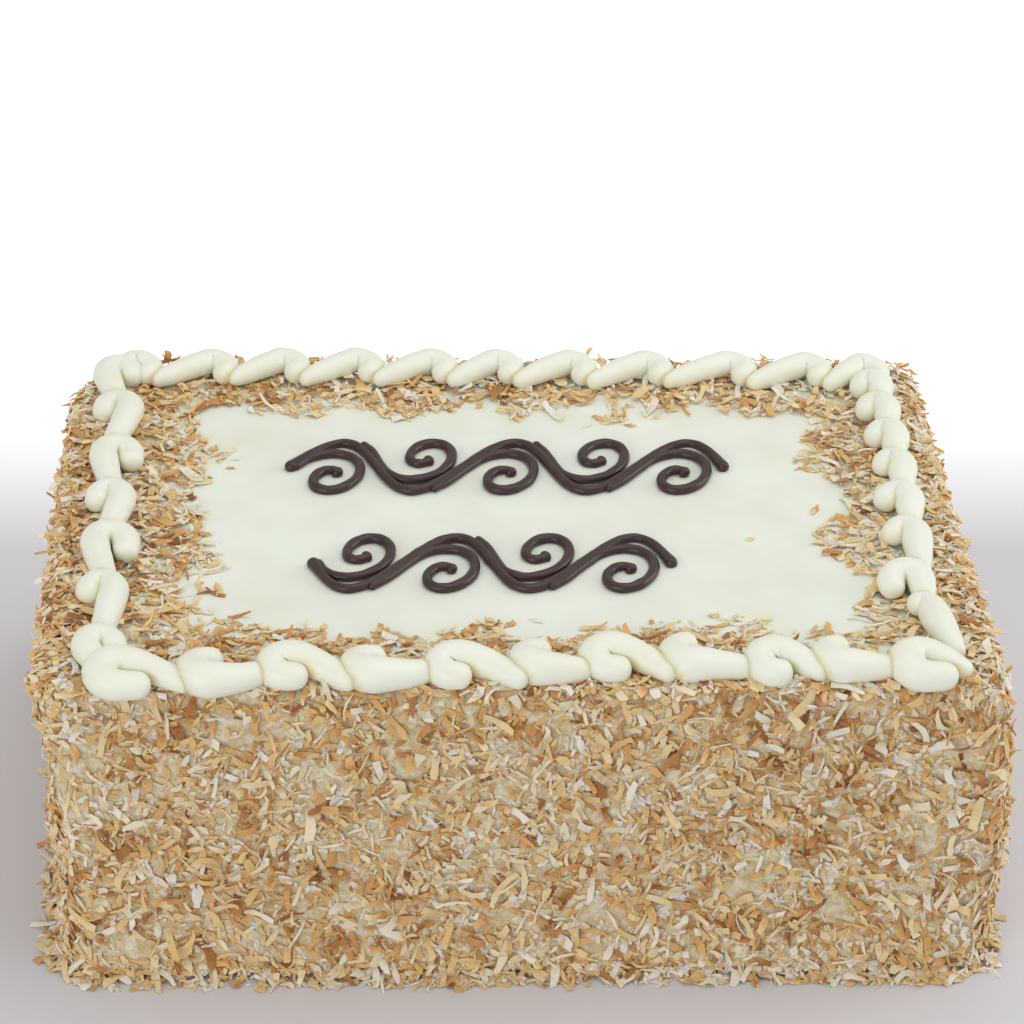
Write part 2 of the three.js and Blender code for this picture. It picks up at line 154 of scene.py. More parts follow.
def set_attribute(mesh, name, values):
    """Gives each point of a mesh a number for its material to read."""
    layer = mesh.attributes.new(name, "FLOAT", "POINT")
    layer.data.foreach_set("value", values.astype(np.float32))


def cut_across(bm, place, normal, nearness):
    """Cuts a bmesh by a plane, with new edges and nothing taken away."""
    bmesh.ops.bisect_plane(bm, geom=bm.verts[:] + bm.edges[:] + bm.faces[:], dist=nearness, plane_co=place,
                           plane_no=normal)


def order_by_place(elements, place_of):
    """Sorts the points or faces of a bmesh by where they are, as subdividing leaves them in another order
    each time."""
    in_order = sorted(elements, key=lambda element: tuple(place_of(element)))
    rank = {element: order for order, element in enumerate(in_order)}
    elements.sort(key=rank.get)


# ---------------------------------------------------------------- materials


def new_material(name):
    material = bpy.data.materials.new(name)
    material.use_nodes = True
    tree = material.node_tree
    return material, tree, tree.links.new, tree.nodes["Principled BSDF"]


def set_inputs(node, **values):
    for name, value in values.items():
        node.inputs[name.replace("_", " ")].default_value = value


def add_noise(tree, **values):
    """A noise texture on the piece's own coordinates."""
    place = tree.nodes.new("ShaderNodeTexCoord")
    texture = tree.nodes.new("ShaderNodeTexNoise")
    set_inputs(texture, **values)
    tree.links.new(place.outputs["Object"], texture.inputs["Vector"])
    return texture


def add_math(tree, operation, *values):
    """A Math node. Each of its values is a number or another node's output."""
    node = tree.nodes.new("ShaderNodeMath")
    node.operation = operation
    for socket, value in zip(node.inputs, values):
        if isinstance(value, bpy.types.NodeSocket):
            tree.links.new(value, socket)
        else:
            socket.default_value = value
    return node


def add_range(tree, value, **limits):
    """A Map Range node over another node's output."""
    node = tree.nodes.new("ShaderNodeMapRange")
    set_inputs(node, **limits)
    tree.links.new(value, node.inputs["Value"])
    return node


def add_colour_mix(tree, factor):
    """A Mix node for colours, from A to B."""
    node = tree.nodes.new("ShaderNodeMix")
    node.data_type = "RGBA"
    tree.links.new(factor, node.inputs["Factor"])
    return node


def add_bump(tree, height, strength, distance):
    node = tree.nodes.new("ShaderNodeBump")
    set_inputs(node, Strength=strength, Distance=distance * MM)
    tree.links.new(height, node.inputs["Height"])
    return node


def cream_surface_group():
    """Whipped cream cheese: a fine grain with slow waves, and a tint towards the second colour that deepens
    where the
    Recess input is 1: painted shade in the creases of the piped cream, and the crumb-mixed coat on the icing.
    """
    group = bpy.data.node_groups.new("cream_surface", "ShaderNodeTree")
    face = group.interface
    for name, kind, value in (
        ("Colour", "NodeSocketColor", (1, 1, 1, 1)),
        ("Recess Colour", "NodeSocketColor", (1, 1, 1, 1)),
        ("Recess", "NodeSocketFloat", 0.0),
        ("Grain Size", "NodeSocketFloat", 1.0),
    ):
        face.new_socket(name, in_out="INPUT", socket_type=kind).default_value = value
    face.new_socket("Colour", in_out="OUTPUT", socket_type="NodeSocketColor")
    face.new_socket("Height", in_out="OUTPUT", socket_type="NodeSocketFloat")
    link = group.links.new
    inputs, outputs = group.nodes.new("NodeGroupInput"), group.nodes.new("NodeGroupOutput")
    grain_scale = add_math(group, "DIVIDE", 1 / MM, inputs.outputs["Grain Size"])
    grain = add_noise(group, Detail=3.0, Roughness=0.6)
    link(grain_scale.outputs[0], grain.inputs["Scale"])
    waves = add_noise(group, Scale=45.0, Detail=2.0)
    tint = add_range(group, waves.outputs["Fac"], From_Min=0.35, From_Max=0.7, To_Min=0.0, To_Max=0.16)
    depth = add_math(group, "ADD", tint.outputs["Result"], inputs.outputs["Recess"])
    depth.use_clamp = True
    colour = add_colour_mix(group, depth.outputs[0])
    link(inputs.outputs["Colour"], colour.inputs["A"])
    link(inputs.outputs["Recess Colour"], colour.inputs["B"])
    height = add_math(group, "MULTIPLY_ADD", waves.outputs["Fac"], 3.0, grain.outputs["Fac"])
    link(colour.outputs["Result"], outputs.inputs["Colour"])
    link(height.outputs[0], outputs.inputs["Height"])
    return group


def cream_material(name, colour, coat_and_crease_shade_colour, grain_size, bump_strength, roughness):
    """Cream, with the second colour where the coat_and_crease_shade attribute is 1: on the piped cream,
    painted shade in the creases between strands.
    """
    material, tree, link, shader = new_material(name)
    surface = tree.nodes.new("ShaderNodeGroup")
    surface.node_tree = bpy.data.node_groups.get("cream_surface") or cream_surface_group()
    set_inputs(surface, Colour=colour, Recess_Colour=coat_and_crease_shade_colour, Grain_Size=grain_size)
    coat_and_crease_shade = tree.nodes.new("ShaderNodeAttribute")
    coat_and_crease_shade.attribute_name = "coat_and_crease_shade"
    link(coat_and_crease_shade.outputs["Fac"], surface.inputs["Recess"])
    bump = add_bump(tree, surface.outputs["Height"], bump_strength, 0.12)
    link(bump.outputs["Normal"], shader.inputs["Normal"])
    link(surface.outputs["Colour"], shader.inputs["Base Color"])
    set_inputs(shader, Roughness=roughness, Subsurface_Weight=0.25, Subsurface_Scale=2.5 * MM)
    set_inputs(shader, Subsurface_Radius=(1.0, 0.85, 0.5))
    return material


def icing_material():
    """The icing: smooth on top, and mottled and rough with crumbs where its coat_and_crease_shade attribute
    says that it is coated."""
    material = cream_material("cream_icing", linear(234, 240, 226), linear(204, 180, 132), 0.5, 0.35, 0.6)
    tree = material.node_tree
    link = tree.links.new
    coated, surface, bump = (tree.nodes[name] for name in ("Attribute", "Group", "Bump"))
    patches = add_noise(tree, Scale=260.0, Detail=4.0, Roughness=0.7)
    mottle = add_range(tree, patches.outputs["Fac"], From_Min=0.36, From_Max=0.6, To_Min=0.25, To_Max=1.0)
    share = add_math(tree, "MULTIPLY", coated.outputs["Fac"], mottle.outputs["Result"])
    link(share.outputs[0], surface.inputs["Recess"])
    crumbs = add_noise(tree, Scale=520.0, Detail=3.0, Roughness=0.6)
    rough = add_math(tree, "MULTIPLY", coated.outputs["Fac"], crumbs.outputs["Fac"])
    crumb_bump = add_bump(tree, rough.outputs[0], 0.9, 0.9)
    link(crumb_bump.outputs["Normal"], bump.inputs["Normal"])
    return material


# The colour of coconut from raw to fully toasted.
TOASTING = (
    (0.00, (244, 236, 226)),
    (0.22, (240, 222, 184)),
    (0.42, (236, 202, 148)),
    (0.62, (222, 172, 110)),
    (0.80, (192, 136, 80)),
    (1.00, (146, 92, 50)),
)


def coconut_material():
    """Coconut from raw white to deep brown, by how toasted each shred is and which part of it."""
    material, tree, link, shader = new_material("toasted_coconut")
    toast = tree.nodes.new("ShaderNodeAttribute")
    toast.attribute_name = "toast"
    fibre = add_noise(tree, Scale=900.0, Detail=2.0)
    mottled = add_math(tree, "MULTIPLY_ADD", fibre.outputs["Fac"], 0.14, toast.outputs["Fac"])
    browning = tree.nodes.new("ShaderNodeValToRGB")
    ramp = browning.color_ramp.elements
    while len(ramp) < len(TOASTING):
        ramp.new(0.5)
    for element, (position, colour) in zip(ramp, TOASTING):
        element.position = position
        element.color = linear(*colour)
    link(mottled.outputs[0], browning.inputs["Fac"])
    link(browning.outputs["Color"], shader.inputs["Base Color"])
    bump = add_bump(tree, fibre.outputs["Fac"], 0.4, 0.1)
    link(bump.outputs["Normal"], shader.inputs["Normal"])
    set_inputs(shader, Roughness=0.6, Subsurface_Weight=0.5, Subsurface_Scale=2.0 * MM)
    set_inputs(shader, Subsurface_Radius=(1.0, 0.75, 0.5), Specular_IOR_Level=0.3)
    return material


def chocolate_material():
    """Dark chocolate icing, streaked in colour and gloss."""
    material, tree, link, shader = new_material("chocolate")
    streaks = add_noise(tree, Scale=260.0, Detail=3.0)
    colour = add_colour_mix(tree, streaks.outputs["Fac"])
    set_inputs(colour, A=linear(50, 30, 28), B=linear(66, 42, 38))
    link(colour.outputs["Result"], shader.inputs["Base Color"])
    gloss = add_range(tree, streaks.outputs["Fac"], To_Min=0.28, To_Max=0.42)
    link(gloss.outputs["Result"], shader.inputs["Roughness"])
    bump = add_bump(tree, streaks.outputs["Fac"], 0.25, 0.15)
    link(bump.outputs["Normal"], shader.inputs["Normal"])
    return material


CREAM_ICING = icing_material()
# The piped cream's second colour is painted shade, yellower and darker, for the creases between strands.
PIPED_CREAM = cream_material("piped_cream", linear(237, 240, 225), linear(228, 220, 178), 0.4, 0.3, 0.42)
COCONUT = coconut_material()
CHOCOLATE = chocolate_material()


# ---------------------------------------------------------------- the iced block


def coat_sides(inset):
    """The four sides in plan from the right-hand one anticlockwise, each with its straight part and the
    corner after it, for an even block set in from the coat."""
    x, y = CAKE_WIDTH / 2 - inset, CAKE_DEPTH / 2 - inset
    radii = {name: radius - inset for name, radius in CORNER_RADII.items()}
    corners = ("front_right", "back_right", "back_left", "front_left", "front_right")
    sides = []
    for order, name in enumerate(("right", "back", "left", "front")):
        before, after = radii[corners[order]], radii[corners[order + 1]]
        reach, out = {
            "right": (y, Vector((x, 0))),
            "back": (x, Vector((0, y))),
            "left": (y, Vector((-x, 0))),
            "front": (x, Vector((0, -y))),
        }[name]
        turn = 90 * order
        along = Matrix.Rotation(math.radians(turn + 90), 2) @ Vector((1, 0))
        start = out - along * (reach - before)
        sides.append({"name": name, "start": start, "turn": turn, "straight": 2 * reach - before - after,
                      "radius": after})
    return sides


def side_reach(inset):
    """The distance round the outline from the start of the right-hand side to the start of each side, and in
    all."""
    lengths = [side["straight"] + math.pi * side["radius"] / 2 for side in coat_sides(inset)]
    return np.concatenate([[0.0], np.cumsum(lengths)])


def coat_outline(distance, inset):
    """Plan position and outward direction at distances round the outline, from the start of the right-hand
    side."""
    reach = side_reach(inset)
    distance = np.asarray(distance) % reach[-1]
    place = np.zeros((len(distance), 2))
    facing = np.zeros((len(distance), 2))
    for side, begin, end in zip(coat_sides(inset), reach, reach[1:]):
        turn = math.radians(side["turn"])
        out = np.array([math.cos(turn), math.sin(turn)])
        along = np.array([-out[1], out[0]])
        here = (distance >= begin) & (distance < end)
        gone = distance[here] - begin
        straight = np.minimum(gone, side["straight"])
        swing = turn + np.maximum(gone - side["straight"], 0) / side["radius"]
        ray = np.stack([np.cos(swing), np.sin(swing)], axis=1)
        centre = np.array(side["start"]) - out * side["radius"] + np.outer(straight, along)
        place[here] = centre + ray * side["radius"]
        facing[here] = ray
    return place, facing


def end_offset(x, y, z):
    """How far to the right an uneven end of the cake carries a point of an even block."""
    end = RIGHT_END if x > 0 else LEFT_END
    front = np.interp(z, END_HEIGHTS, end["offsets"])
    to_back = np.interp(z, (0, ICING_TOP), end["to_back"])
    share = abs(x) / (CAKE_WIDTH / 2)
    return share**2 * (front + to_back * (y / CAKE_DEPTH + 0.5))


def icing_mesh():
    """The icing: a rounded block with bumpy walls under the coconut, and on top the shallow waves that a
    palette knife leaves. Its coat_and_crease_shade attribute is 1 where coconut covers it."""
    width, depth = CAKE_WIDTH - 2 * COAT_THICKNESS, CAKE_DEPTH - 2 * COAT_THICKNESS
    bm = bmesh.new()
    bmesh.ops.create_cube(bm, size=1.0)
    bmesh.ops.scale(bm, vec=(width, depth, ICING_TOP), verts=bm.verts)
    bmesh.ops.translate(bm, vec=(0, 0, ICING_TOP / 2), verts=bm.verts)
    for name, radius in CORNER_RADII.items():
        corner_x, corner_y = 1 if "right" in name else -1, 1 if "back" in name else -1
        upright = [e for e in bm.edges if abs(e.verts[0].co.z - e.verts[1].co.z) > 1
                   and e.verts[0].co.x * corner_x > 0 and e.verts[0].co.y * corner_y > 0]
        bmesh.ops.bevel(bm, geom=upright, offset=radius - COAT_THICKNESS, segments=9, profile=0.5,
                        affect="EDGES", material=-1)
    rim = [e for e in bm.edges if min(v.co.z for v in e.verts) > ICING_TOP - 1e-4]
    bmesh.ops.bevel(bm, geom=rim, offset=EDGE_RADIUS, segments=5, profile=0.5, affect="EDGES", material=-1)
    cuts_each_way = int(width / 2 / ICING_GRID)
    for step in range(-cuts_each_way, cuts_each_way + 1):
        for normal, reach in (((1, 0, 0), width), ((0, 1, 0), depth)):
            if abs(step * ICING_GRID) < reach / 2 - 2 * EDGE_RADIUS:
                cut_across(bm, Vector(normal) * (step * ICING_GRID), normal, 1e-4)
    for height in range(ICING_GRID, int(ICING_TOP - EDGE_RADIUS), ICING_GRID):
        cut_across(bm, (0, 0, height), (0, 0, 1), 1e-4)
    bmesh.ops.subdivide_edges(bm, edges=bm.edges[:], cuts=1, use_grid_fill=True)
    order_by_place(bm.verts, lambda vert: vert.co)
    bm.normal_update()
    places = np.array([vert.co for vert in bm.verts])
    within = np.minimum(BARE_HALF_WIDTH - np.abs(places[:, 0]), BARE_HALF_DEPTH - np.abs(places[:, 1]))
    coated = np.maximum(smoothstep(4, -4, within), smoothstep(ICING_TOP - 2, ICING_TOP - 6, places[:, 2]))
    for vert in bm.verts:
        co = vert.co
        sideways = end_offset(*co)
        if vert.normal.z >= -0.5:
            on_wall = smoothstep(0.9, 0.5, abs(vert.normal.z))
            flare = FOOT_FLARE * math.exp(-co.z / FOOT_HEIGHT) * on_wall
            bump = sum(noise.noise(co / size + Vector(place)) * height for size, height, place in WALL_BUMPS)
            wave = noise.noise(Vector((co.x / WAVE_WIDTH, co.y / WAVE_DEPTH, 3.0))) * WAVE_HEIGHT
            co += vert.normal * (bump * on_wall) + Vector((vert.normal.x, vert.normal.y, 0)) * flare
            co.z += wave * (1 - on_wall)
        co.x += sideways
    bmesh.ops.triangulate(bm, faces=bm.faces[:], quad_method="FIXED")
    order_by_place(bm.faces, lambda face: face.calc_center_median())
    bmesh.ops.scale(bm, vec=(MM, MM, MM), verts=bm.verts)
    for face in bm.faces:
        face.smooth = True
    mesh = mesh_from_bmesh("cream_icing", bm)
    set_attribute(mesh, "coat_and_crease_shade", coated)
    return mesh


# ---------------------------------------------------------------- piped strands


def smooth_line(knots, step):
    """Points about step apart on a centripetal Catmull-Rom curve through knots. The first three numbers of a
    knot are its place."""
    knots = np.asarray(knots, float)
    knots = np.vstack([2 * knots[0] - knots[1], knots, 2 * knots[-1] - knots[-2]])
    line = []
    for p0, p1, p2, p3 in zip(knots, knots[1:], knots[2:], knots[3:]):
        t1 = np.linalg.norm(p1[:3] - p0[:3]) ** 0.5
        t2 = t1 + np.linalg.norm(p2[:3] - p1[:3]) ** 0.5
        t3 = t2 + np.linalg.norm(p3[:3] - p2[:3]) ** 0.5
        for t in np.linspace(t1, t2, max(2, round(np.linalg.norm(p2[:3] - p1[:3]) / step)), endpoint=False):
            a1 = p0 + (p1 - p0) * t / t1
            a2 = p1 + (p2 - p1) * (t - t1) / (t2 - t1)
            a3 = p2 + (p3 - p2) * (t - t2) / (t3 - t2)
            b1 = a1 + (a2 - a1) * t / t2
            b2 = a2 + (a3 - a2) * (t - t1) / (t3 - t1)
            line.append(b1 + (b2 - b1) * (t - t1) / (t2 - t1))
    return np.array(line + [knots[-2]])


def with_round_ends(line):
    """A line of (x, y, z, radius) with a half ball added at each end."""
    caps = []
    for end, inner in ((0, 2), (-1, -3)):
        out = line[end, :3] - line[inner, :3]
        out /= np.linalg.norm(out)
        angles = np.radians([25, 48, 68, 84])
        reach = np.sin(angles) * line[end, 3] * 0.85
        caps.append(np.column_stack([line[end, :3] + reach[:, None] * out, np.cos(angles) * line[end, 3]]))
    return np.vstack([caps[0][::-1], line, caps[1]])


def tube_mesh(name, lines, sides):
    """Round tubes along lines of (x, y, z, radius) as one mesh in metres, with the same number of points to
    each place on each line, in order."""
    curve = bpy.data.curves.new(name, "CURVE")
    curve.dimensions = "3D"
    curve.twist_mode = "Z_UP"
    curve.bevel_depth = MM
    curve.bevel_resolution = sides // 2 - 2
    for line in lines:
        spline = curve.splines.new("POLY")
        spline.points.add(len(line) - 1)
        for point, (x, y, z, radius) in zip(spline.points, line):
            point.co = (x * MM, y * MM, z * MM, 1)
            point.radius = radius
    tubes = bpy.data.objects.new(name, curve)
    bm = bmesh.new()
    bm.from_mesh(bpy.data.meshes.new_from_object(tubes))
    bpy.data.objects.remove(tubes)
    bpy.data.curves.remove(curve)
    bmesh.ops.holes_fill(bm, edges=[edge for edge in bm.edges if edge.is_boundary], sides=0)
    bmesh.ops.recalc_face_normals(bm, faces=bm.faces)
    return mesh_from_bmesh(name, bm)


def distance_along(line):
    """How far each place on a line is from its start."""
    return np.concatenate([[0], np.cumsum(np.linalg.norm(np.diff(line, axis=0), axis=1))])


def crease_gap(points, place, line, line_place, own):
    """How far each point is from the outside of another strand, or of another stretch of its own."""
    gap = np.linalg.norm(points[:, None] - line[None, :, :3], axis=2) - line[None, :, 3]
    if own:
        gap[np.abs(place[:, None] - line_place[None]) < SAME_STRETCH] = NO_CREASE
    return gap.min(axis=1)


def piped_mesh(name, lines, sides):
    """Round strands as one mesh in metres. Its coat_and_crease_shade attribute is 1 in the creases between
    strands and 0 clear of them; the piped cream paints shade there."""
    lines = [with_round_ends(line) for line in lines]
    for order, line in enumerate(lines):
        line[:, 3] *= 1 + WOBBLE * noise_at(line[:, :3], 6.0, 3.0 + order)
    mesh = tube_mesh(name, lines, sides)
    points = np.empty(len(mesh.vertices) * 3, np.float32)
    mesh.vertices.foreach_get("co", points)
    points = points.reshape(-1, 3).astype(float) / MM
    ring = len(points) // sum(len(line) for line in lines)
    centres = np.vstack([np.repeat(line[:, :3], ring, axis=0) for line in lines])
    radii = np.concatenate([np.repeat(line[:, 3], ring) for line in lines])
    outward = (points - centres) / radii[:, None]
    points += outward * (WOBBLE * 6.0 * noise_at(points, 4.0, 8.0))[:, None]
    points[:, 2] = centres[:, 2] + (points[:, 2] - centres[:, 2]) * SQUASH
    places = [distance_along(line[:, :3]) for line in lines]
    coat_and_crease_shade = np.zeros(len(points))
    start = 0
    for line, place in zip(lines, places):
        part = slice(start, start + len(line) * ring)
        gap = np.full(len(line) * ring, NO_CREASE)
        for other, other_place in zip(lines, places):
            if np.linalg.norm(other[:, :3].mean(0) - line[:, :3].mean(0)) < STRANDS_APART:
                near = crease_gap(points[part], np.repeat(place, ring), other, other_place, other is line)
                gap = np.minimum(gap, near)
        # Painted shade: near 1 where another strand or another stretch of the same strand lies within
        # CREASE_WIDTH.
        coat_and_crease_shade[part] = np.clip(1 - gap / CREASE_WIDTH, 0, 1) ** 2
        start += len(line) * ring
    mesh.vertices.foreach_set("co", (points * MM).astype(np.float32).ravel())
    set_attribute(mesh, "coat_and_crease_shade", coat_and_crease_shade)
    mesh.polygons.foreach_set("use_smooth", np.ones(len(mesh.polygons), bool))
    mesh.update()
    return mesh


# The four piped runs, each from its start towards the next corner. A run has the place where it starts, the
# directions along it and in towards the middle of the cake, how late the tails bend of shells that are piped
# from either side, where its last tail ends from the middle of the last loop, the girth of its strand, as a
# radius, and how much the loops swell, as a share of that. Each of its shells is piped from the outside or
# the inside of the border, with these sizes: how far along the middle of its loop is and how far in, how far
# the loop reaches to either side, how far on from there the tip of its hook is, and how far in its tail ends.
RUNS = {
    "front": {
        "start": (-142.4, -100), "along": (1, 0), "inward": (0, 1),
        "bend": {"outside": 1.5, "inside": 2.0}, "last_end": (13, -2), "girth": 5.0, "swell": 0.22,
        "shells": (
            ("outside", 1.5, -6.5, 6.4, 6.5, -10.5), ("inside", 32.5, -4.0, 6.4, 0.0, -3.5),
            ("outside", 60, -2.5, 5.0, 1.5, -9.5), ("inside", 88.5, -2.0, 5.6, 0.0, -3.0),
            ("outside", 117.5, -2.5, 5.0, 1.0, -8.5), ("inside", 147, 2.0, 6.0, -1.5, -2.5),
            ("outside", 171, 2.0, 5.6, 1.5, -4.5), ("inside", 198.5, 5.0, 6.8, -2.0, -2.0),
            ("outside", 228, -0.5, 5.6, 1.0, -4.5), ("inside", 251, 3.5, 6.4, -2.0, -2.0),
            ("outside", 278.5, -1.5, 6.8, 6.5, 0.0),
        ),
    },
    "right": {
        "start": (138.6, 100), "along": (0, -1), "inward": (-1, 0),
        "bend": {"inside": 1.2}, "last_end": (23, -9), "girth": 4.5, "swell": 0.1,
        "shells": (
            ("inside", 12, 1.0, 3.6, -2.0, -1.5), ("inside", 29, 0.5, 3.8, -2.0, -2.0),
            ("inside", 49, -0.5, 3.6, -2.0, -2.5), ("inside", 70, -1.0, 3.4, -2.5, -3.0),
            ("inside", 94, 0.0, 4.4, -2.0, -3.0), ("inside", 118, 0.0, 4.2, -2.5, -3.5),
            ("inside", 148.5, 3.0, 5.4, 3.0, -3.0), ("inside", 168.5, -0.5, 3.8, -6.2, 0.0),
        ),
    },
    "back": {
        "start": (137.6, 103), "along": (-1, 0), "inward": (0, -1),
        "bend": {"inside": 1.0}, "last_end": (9, 5), "girth": 4.3, "swell": 0,
        "shells": tuple(("inside", along, inset, 5.4, -4.8, inset + 6.5) for along, inset in (
            (2.5, 2.0), (24, 1.0), (53, 0.0), (85, 0.0), (114, -0.5), (142, -1.0), (167, -1.5), (195, -2.0),
            (223, -2.0), (250, -1.0), (279, 0.0),
        )),
    },
    "left": {
        "start": (-147.4, 100), "along": (0, -1), "inward": (1, 0),
        "bend": {"outside": 1.3, "inside": 1.3}, "last_end": (13, 2), "girth": 4.6, "swell": 0,
        "shells": (
            ("inside", 1.5, 0.5, 4.6, 0.0, 1.0), ("outside", 27.5, 0.5, 4.6, 0.5, -1.5),
            ("inside", 61, 1.5, 5.0, 2.5, 0.5), ("outside", 92, -0.5, 4.4, 0.5, -1.0),
            ("inside", 121.5, 0.8, 5.6, 5.0, 0.5), ("outside", 154, -1.5, 4.4, 0.0, -1.0),
            ("inside", 190, -0.8, 4.8, 0.5, 0.0),
        ),
    },
}


def shell_line(run, shell, end):
    """A shell's smooth line with the strand's radius, from the tip of its hook, round its loop and down its
    tail to end, which is counted along the run and inward from where the run starts."""
    origin, along, inset, depth, hook, _ = shell
    flip = 1 if origin == "outside" else -1
    begin = -90 if hook >= 0 else -90 - math.degrees(math.asin(-hook / LOOP_REACH))
    knots = [(along + hook, inset - flip * depth)] if hook > SHORTEST_HOOK else []
    for turn in np.radians(np.linspace(begin, -270, 8)):
        knots.append((along + LOOP_REACH * math.cos(turn), inset + flip * depth * math.sin(turn)))
    for share in (0.2, 0.4, 0.6, 0.8, 1.0):
        bend = share ** run["bend"][origin]
        knots.append((along + (end[0] - along) * share, (inset + flip * depth) * (1 - bend) + end[1] * bend))
    knots = np.array(knots)
    place = distance_along(knots)
    share = place / place[-1]
    height = np.interp(share, *zip(*HEIGHT_ALONG))
    swelling = run["swell"] * np.interp(share, *zip(*SWELL_ALONG))
    radius = run["girth"] * (np.interp(share, *zip(*GIRTH_ALONG)) + swelling)
    plan = np.outer(knots[:, 0], run["along"]) + np.outer(knots[:, 1], run["inward"]) + np.array(run["start"])
    return smooth_line(np.column_stack([plan, height + ICING_TOP, radius]), 0.9)


def border_lines(run):
    """The lines of a run's shells, in the order that they are piped."""
    lines = []
    for shell, following in zip(run["shells"], run["shells"][1:] + (None,)):
        if following:
            end = (following[1] - TAIL_STOP, shell[5])
        else:
            end = (shell[1] + run["last_end"][0], shell[2] + run["last_end"][1])
        lines.append(shell_line(run, shell, end))
    return lines


# ---------------------------------------------------------------- the scrollwork

# The rows of scrollwork: the middle of each on the top, its number of crests, and whether the first is behind
# the row, 1, or in front of it, -1.
VINE_ROWS = {
    "back": {"middle": (-2.4, 38), "crests": 5, "first_crest": 1},
    "front": {"middle": (-10.4, -29), "crests": 4, "first_crest": -1},
}


def vine_lines(row, rng):
    """The lines of a row of scrollwork: its waving stem, and a curl for each crest."""
    def on_row(along, above):
        x, y = row["middle"]
        return np.array([x + along + VINE_SLANT * above, y + above, ICING_TOP + LINE_HEIGHT])

    def swing(along):
        return row["first_crest"] * VINE_SWING * math.sin(math.pi * (along + length / 2) / VINE_HALF_STEP)

    def line_radius(share, bead_at_start):
        bead = max(0, 1 - (1 - share) * 18) + (max(0, 1 - share * 26) if bead_at_start else 0)
        return LINE_RADIUS * (0.84 + 0.14 * math.sin(share * math.pi) + 0.3 * bead + rng.uniform(-0.05, 0.05))

    length = row["crests"] * VINE_HALF_STEP
    count = row["crests"] * STEM_STEPS
    stem = []
    for i in range(count + 1):
        along = (i / count - 0.5) * length
        stem.append((*on_row(along, swing(along)), line_radius(i / count, True)))
    lines = [stem]
    for crest in range(row["crests"]):
        side = row["first_crest"] * (1 if crest % 2 == 0 else -1)
        middle = (crest + 0.5) * VINE_HALF_STEP - length / 2
        points = []
        for share in () if crest == 0 else (0.8, 0.68):
            along = middle - share * VINE_HALF_STEP
            points.append(on_row(along + 1.6, swing(along) - side * 1.6))
        for i in range(CURL_STEPS + 1):
            share = i / CURL_STEPS
            turn = CURL_START - share * CURL_TURN
            radius = CURL_RADIUS * (0.28 + 1.08 * (1 - share) ** 1.3)
            above = CURL_STRETCH * radius * math.sin(turn) - CURL_DROP
            points.append(on_row(middle + radius * math.cos(turn), side * above))
        lines.append([(*point, line_radius(i / (len(points) - 1), False)) for i, point in enumerate(points)])
    return [smooth_line(line, 0.7) for line in lines]


# ---------------------------------------------------------------- coconut

# The kinds of shred in the coat: each one's share of all, how many lengths it is cut into so that it can
# bend, the mean and spread of its length and of its width, the spread of its bend and of its twist in
# radians, and how narrow its ends can be.
SHRED_KINDS = (
    {"share": 0.24, "lengths": 4, "length": (8.8, 2.6), "width": (2.5, 0.7),
     "bend": 0.6, "twist": 0.6, "end": 0.75},
    {"share": 0.26, "lengths": 3, "length": (7.6, 2.6), "width": (1.1, 0.3),
     "bend": 1.0, "twist": 0.9, "end": 0.6},
    {"share": 0.28, "lengths": 2, "length": (4.4, 1.2), "width": (2.1, 0.7),
     "bend": 0.6, "twist": 0.6, "end": 0.6},
    {"share": 0.22, "lengths": 1, "length": (2.4, 0.7), "width": (1.3, 0.4),
     "bend": 0.3, "twist": 0.5, "end": 0.5},
)
SHRED_LENGTHS = (1.6, 18.0)  # the shortest and the longest
SHRED_WIDTHS = (0.6, 4.4)
SHRED_THICKNESSES = (0.28, 0.48)

# How toasted a shred is, from 0, raw, to 1, and the share of shreds that are so.
TOAST_KINDS = ((0.02, 0.17), (0.2, 0.24), (0.42, 0.34), (0.6, 0.2), (0.8, 0.05))

# The coats of coconut on a side: the share of the shreds, how far out they lie and how much they tilt.
WALL_COATS = ((0.52, -0.15, 0.12), (0.31, 0.5, 0.2), (0.17, 1.3, 0.3))
SHREDS_ON_SIDES = {"right": 5200, "back": 6600, "left": 5200, "front": 7900}

# The drifts on top inside the border: how far inward they reach, how much that varies, how far inward strays
# lie beyond them, and how likely a stray is.
END_DRIFT = 30.0
FRONT_DRIFT = 31.0
BACK_DRIFT = 23.0
DRIFT_WAVE = 14.0
STRAY_REACH = 60.0
STRAY_CHANCE = 0.001

# How high the coconut is piled on the top's edge, how much higher along the back, and between which distances
# from the middle it rises to that.
RIM_PILE = 2.6
BACK_PILE = 4.2
BACK_PILE_RISE = (102.0, 107.0)

# The coconut heaped against the foot: how high, how far inside the flare it starts and how far it spreads.
FOOT_PILE = 7.0
FOOT_INSIDE = 5.0
FOOT_SPREAD = 8.0


def shred_template(lengths):
    """A strip 1 long, wide and thick, cut across into lengths that can bend: its points and triangles."""
    bm = bmesh.new()
    bmesh.ops.create_cube(bm, size=1.0)
    for step in range(1, lengths):
        cut_across(bm, (step / lengths - 0.5, 0, 0), (1, 0, 0), 1e-6)
    bmesh.ops.triangulate(bm, faces=bm.faces)
    points = np.array([v.co for v in bm.verts])
    triangles = np.array([[v.index for v in f.verts] for f in bm.faces])
    bm.free()
    return points, triangles


def torn_widths(kind, count, s, rng):
    """How wide each shred is at each of its template's points, with uneven edges and narrower ends."""
    station = np.rint((s + 0.5) * kind["lengths"]).astype(int)
    widths = rng.uniform(0.65, 1.2, (count, kind["lengths"] + 1))
    widths[:, [0, -1]] *= rng.uniform(kind["end"], 1.0, (count, 2))
    return widths[:, station] * rng.normal(*kind["width"], (count, 1)).clip(*SHRED_WIDTHS)


